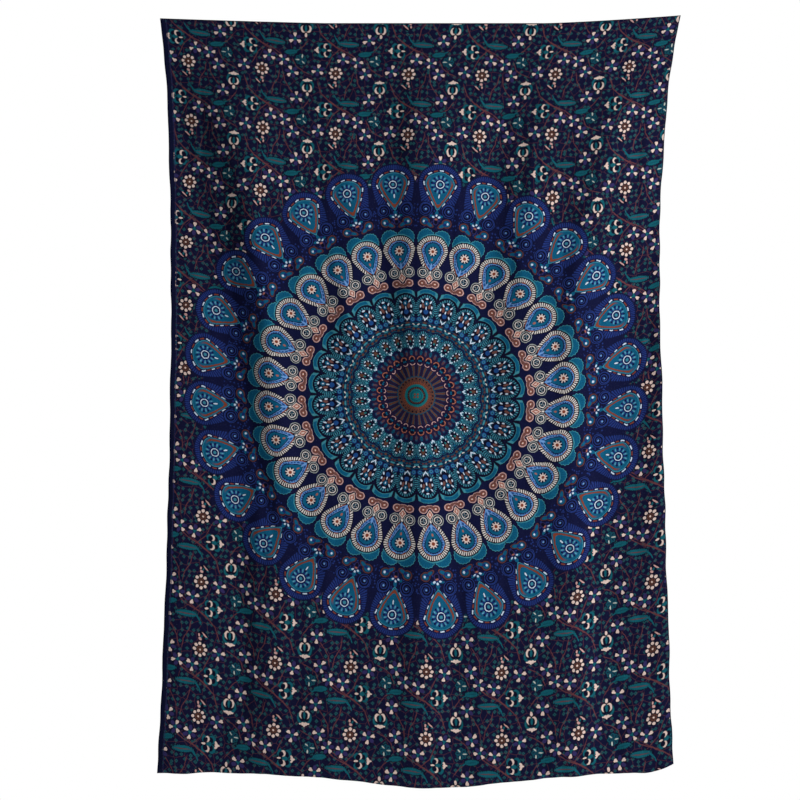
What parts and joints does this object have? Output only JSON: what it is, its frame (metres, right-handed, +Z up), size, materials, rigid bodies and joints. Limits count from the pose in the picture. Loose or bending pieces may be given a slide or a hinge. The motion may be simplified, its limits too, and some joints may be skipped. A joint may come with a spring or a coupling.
{
  "type": "tapestry wall hanging",
  "caption": "Portrait cotton wall tapestry, hung by its top hem, with a block-printed round petal medallion on a small floral ground and narrow stitched hems.",
  "frame": {"origin": "back face of the top hem, half way along it and half way up it, on the wall's plane", "axes": "+Z up, +X along the top edge to the right as seen from the front, +Y into the wall, so the printed face looks along -Y"},
  "size_m": [1.3981, 0.0563, 2.064],
  "materials": {
    "printed_cotton": "plain-weave cotton, block-printed on dark navy, matte",
    "hem_cotton": "the same printed cotton turned into a narrow hem, matte",
    "plain_selvedge": "plain dyed navy cotton, matte",
    "sewing_thread": "navy sewing cotton, lockstitch"
  },
  "bodies": {
    "top_edge": {"hem_top": "hem_cotton", "stitch_top": "sewing_thread"},
    "flap": {"printed_panel": "printed_cotton", "hem_left": "plain_selvedge", "hem_right": "hem_cotton", "hem_bottom": "hem_cotton", "stitch_left": "sewing_thread", "stitch_right": "sewing_thread", "stitch_bottom": "sewing_thread"}
  },
  "joints": [
    {"name": "flap_swing", "type": "hinge", "parent": "top_edge", "child": "flap", "pos_m": [0, -0.0011, -0.006], "axis": [-1, 0, 0], "range_deg": [0, 70]}
  ]
}
